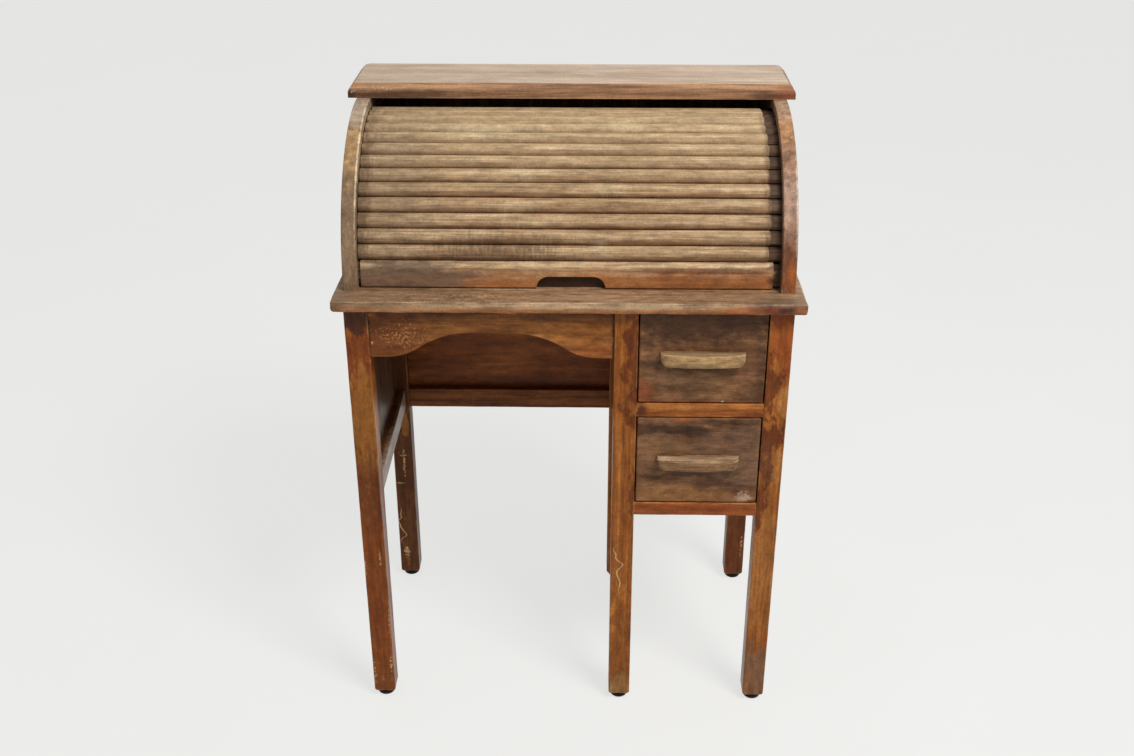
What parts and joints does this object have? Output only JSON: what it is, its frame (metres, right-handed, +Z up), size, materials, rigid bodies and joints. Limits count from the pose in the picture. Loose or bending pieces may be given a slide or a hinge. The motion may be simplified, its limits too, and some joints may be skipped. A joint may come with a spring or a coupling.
{
  "type": "roll-top desk",
  "caption": "Child's roll-top desk with an arched slatted curtain over the writing surface, a kneehole and a drawer pedestal on square legs.",
  "frame": {"origin": "on the floor, under the middle of the desk top", "axes": "+X to the right across the front, +Y from the front to the back, +Z up"},
  "size_m": [0.61, 0.36, 0.876],
  "materials": {
    "frame_wood": "orange-brown varnished hardwood, worn and scratched",
    "arch_wood": "worn brown varnished hardwood",
    "top_wood": "weathered grey-tan hardwood, varnish mostly gone",
    "curtain_wood": "weathered grey-tan half-round moulding",
    "drawer_front_wood": "dark brown worn hardwood",
    "pull_wood": "bare olive-tan hardwood",
    "panel_wood": "dark brown stained panel",
    "inner_wood": "plain unfinished wood",
    "glide_metal": "black domed furniture glide",
    "screw_steel": "plain steel wood screw"
  },
  "bodies": {
    "desk_case": {"apron": "frame_wood", "desk_top": "top_wood", "drawer_divider_rail": "frame_wood", "drawer_runners": "inner_wood", "front_left_leg": "frame_wood", "front_middle_leg": "frame_wood", "front_right_leg": "frame_wood", "kneehole_back_panel": "panel_wood", "kneehole_back_rail": "frame_wood", "left_arch_side": "arch_wood", "left_side_panel": "panel_wood", "left_side_rail": "frame_wood", "leg_glides": "glide_metal", "pedestal_back_panel": "panel_wood", "pedestal_back_rail": "frame_wood", "pedestal_bottom_rail": "frame_wood", "pedestal_inner_panel": "panel_wood", "pedestal_inner_rail": "frame_wood", "pigeonhole_back": "inner_wood", "pigeonhole_dividers": "inner_wood", "pigeonhole_shelf": "inner_wood", "rear_left_leg": "frame_wood", "rear_middle_leg": "frame_wood", "rear_right_leg": "frame_wood", "right_arch_side": "arch_wood", "right_side_panel": "panel_wood", "right_side_rail": "frame_wood", "top_board": "top_wood", "upper_back_panel": "panel_wood"},
    "upper_drawer": {"upper_drawer_back": "inner_wood", "upper_drawer_bottom": "inner_wood", "upper_drawer_front": "drawer_front_wood", "upper_drawer_left_side": "inner_wood", "upper_drawer_pull": "pull_wood", "upper_drawer_right_side": "inner_wood", "upper_pull_screws": "screw_steel"},
    "lower_drawer": {"lower_drawer_back": "inner_wood", "lower_drawer_bottom": "inner_wood", "lower_drawer_front": "drawer_front_wood", "lower_drawer_left_side": "inner_wood", "lower_drawer_pull": "pull_wood", "lower_drawer_right_side": "inner_wood", "lower_pull_screws": "screw_steel"},
    "tambour_lead_rail": {"tambour_lead_rail": "curtain_wood"},
    "tambour_slat_01": {"tambour_slat_01": "curtain_wood"},
    "tambour_slat_02": {"tambour_slat_02": "curtain_wood"},
    "tambour_slat_03": {"tambour_slat_03": "curtain_wood"},
    "tambour_slat_04": {"tambour_slat_04": "curtain_wood"},
    "tambour_slat_05": {"tambour_slat_05": "curtain_wood"},
    "tambour_slat_06": {"tambour_slat_06": "curtain_wood"},
    "tambour_slat_07": {"tambour_slat_07": "curtain_wood"},
    "tambour_slat_08": {"tambour_slat_08": "curtain_wood"},
    "tambour_slat_09": {"tambour_slat_09": "curtain_wood"},
    "tambour_slat_10": {"tambour_slat_10": "curtain_wood"},
    "tambour_slat_11": {"tambour_slat_11": "curtain_wood"},
    "tambour_slat_12": {"tambour_slat_12": "curtain_wood"},
    "tambour_slat_13": {"tambour_slat_13": "curtain_wood"},
    "tambour_slat_14": {"tambour_slat_14": "curtain_wood"}
  },
  "joints": [
    {"name": "curtain_roll", "type": "hinge", "parent": "desk_case", "child": "tambour_lead_rail", "pos_m": [0, 0.055, 0.656], "axis": [-1, 0, 0], "range_deg": [0, 59.96]},
    {"name": "slat_01_roll", "type": "hinge", "parent": "desk_case", "child": "tambour_slat_01", "pos_m": [0, 0.055, 0.656], "axis": [-1, 0, 0], "range_deg": [0, 60.01]},
    {"name": "slat_02_roll", "type": "hinge", "parent": "desk_case", "child": "tambour_slat_02", "pos_m": [0, 0.05007, 0.66155], "axis": [-1, 0, 0], "range_deg": [0, 62.44]},
    {"name": "slat_03_roll", "type": "hinge", "parent": "desk_case", "child": "tambour_slat_03", "pos_m": [0, 0.04467, 0.66902], "axis": [-1, 0, 0], "range_deg": [0, 65.72]},
    {"name": "slat_04_roll", "type": "hinge", "parent": "desk_case", "child": "tambour_slat_04", "pos_m": [0, 0.04061, 0.67638], "axis": [-1, 0, 0], "range_deg": [0, 69]},
    {"name": "slat_05_roll", "type": "hinge", "parent": "desk_case", "child": "tambour_slat_05", "pos_m": [0, 0.0378, 0.68352], "axis": [-1, 0, 0], "range_deg": [0, 72.29]},
    {"name": "slat_06_roll", "type": "hinge", "parent": "desk_case", "child": "tambour_slat_06", "pos_m": [0, 0.03612, 0.69034], "axis": [-1, 0, 0], "range_deg": [0, 75.57]},
    {"name": "slat_07_roll", "type": "hinge", "parent": "desk_case", "child": "tambour_slat_07", "pos_m": [0, 0.03547, 0.69677], "axis": [-1, 0, 0], "range_deg": [0, 78.86]},
    {"name": "slat_08_roll", "type": "hinge", "parent": "desk_case", "child": "tambour_slat_08", "pos_m": [0, 0.03574, 0.70273], "axis": [-1, 0, 0], "range_deg": [0, 82.14]},
    {"name": "slat_09_roll", "type": "hinge", "parent": "desk_case", "child": "tambour_slat_09", "pos_m": [0, 0.03684, 0.70816], "axis": [-1, 0, 0], "range_deg": [0, 85.43]},
    {"name": "slat_10_roll", "type": "hinge", "parent": "desk_case", "child": "tambour_slat_10", "pos_m": [0, 0.03867, 0.713], "axis": [-1, 0, 0], "range_deg": [0, 88.71]},
    {"name": "slat_11_roll", "type": "hinge", "parent": "desk_case", "child": "tambour_slat_11", "pos_m": [0, 0.04012, 0.71569], "axis": [-1, 0, 0], "range_deg": [0, 90.75]},
    {"name": "slat_12_roll", "type": "hinge", "parent": "desk_case", "child": "tambour_slat_12", "pos_m": [0, 0.04012, 0.71569], "axis": [-1, 0, 0], "range_deg": [0, 90.75]},
    {"name": "slat_13_roll", "type": "hinge", "parent": "desk_case", "child": "tambour_slat_13", "pos_m": [0, 0.04012, 0.71569], "axis": [-1, 0, 0], "range_deg": [0, 90.75]},
    {"name": "slat_14_roll", "type": "hinge", "parent": "desk_case", "child": "tambour_slat_14", "pos_m": [0, 0.04012, 0.71569], "axis": [-1, 0, 0], "range_deg": [0, 90.75]},
    {"name": "upper_drawer_slide", "type": "slide", "parent": "desk_case", "child": "upper_drawer", "axis": [0, -1, 0], "range_m": [0, 0.22]},
    {"name": "lower_drawer_slide", "type": "slide", "parent": "desk_case", "child": "lower_drawer", "axis": [0, -1, 0], "range_m": [0, 0.22]}
  ],
  "couplings": [
    {"joint": "slat_01_roll", "follows": "curtain_roll", "ratio": 1},
    {"joint": "slat_02_roll", "follows": "curtain_roll", "ratio": 1.0405},
    {"joint": "slat_03_roll", "follows": "curtain_roll", "ratio": 1.0953},
    {"joint": "slat_04_roll", "follows": "curtain_roll", "ratio": 1.15},
    {"joint": "slat_05_roll", "follows": "curtain_roll", "ratio": 1.2048},
    {"joint": "slat_06_roll", "follows": "curtain_roll", "ratio": 1.2596},
    {"joint": "slat_07_roll", "follows": "curtain_roll", "ratio": 1.3144},
    {"joint": "slat_08_roll", "follows": "curtain_roll", "ratio": 1.3692},
    {"joint": "slat_09_roll", "follows": "curtain_roll", "ratio": 1.4239},
    {"joint": "slat_10_roll", "follows": "curtain_roll", "ratio": 1.4787},
    {"joint": "slat_11_roll", "follows": "curtain_roll", "ratio": 1.5127},
    {"joint": "slat_12_roll", "follows": "curtain_roll", "ratio": 1.5127},
    {"joint": "slat_13_roll", "follows": "curtain_roll", "ratio": 1.5127},
    {"joint": "slat_14_roll", "follows": "curtain_roll", "ratio": 1.5127}
  ]
}
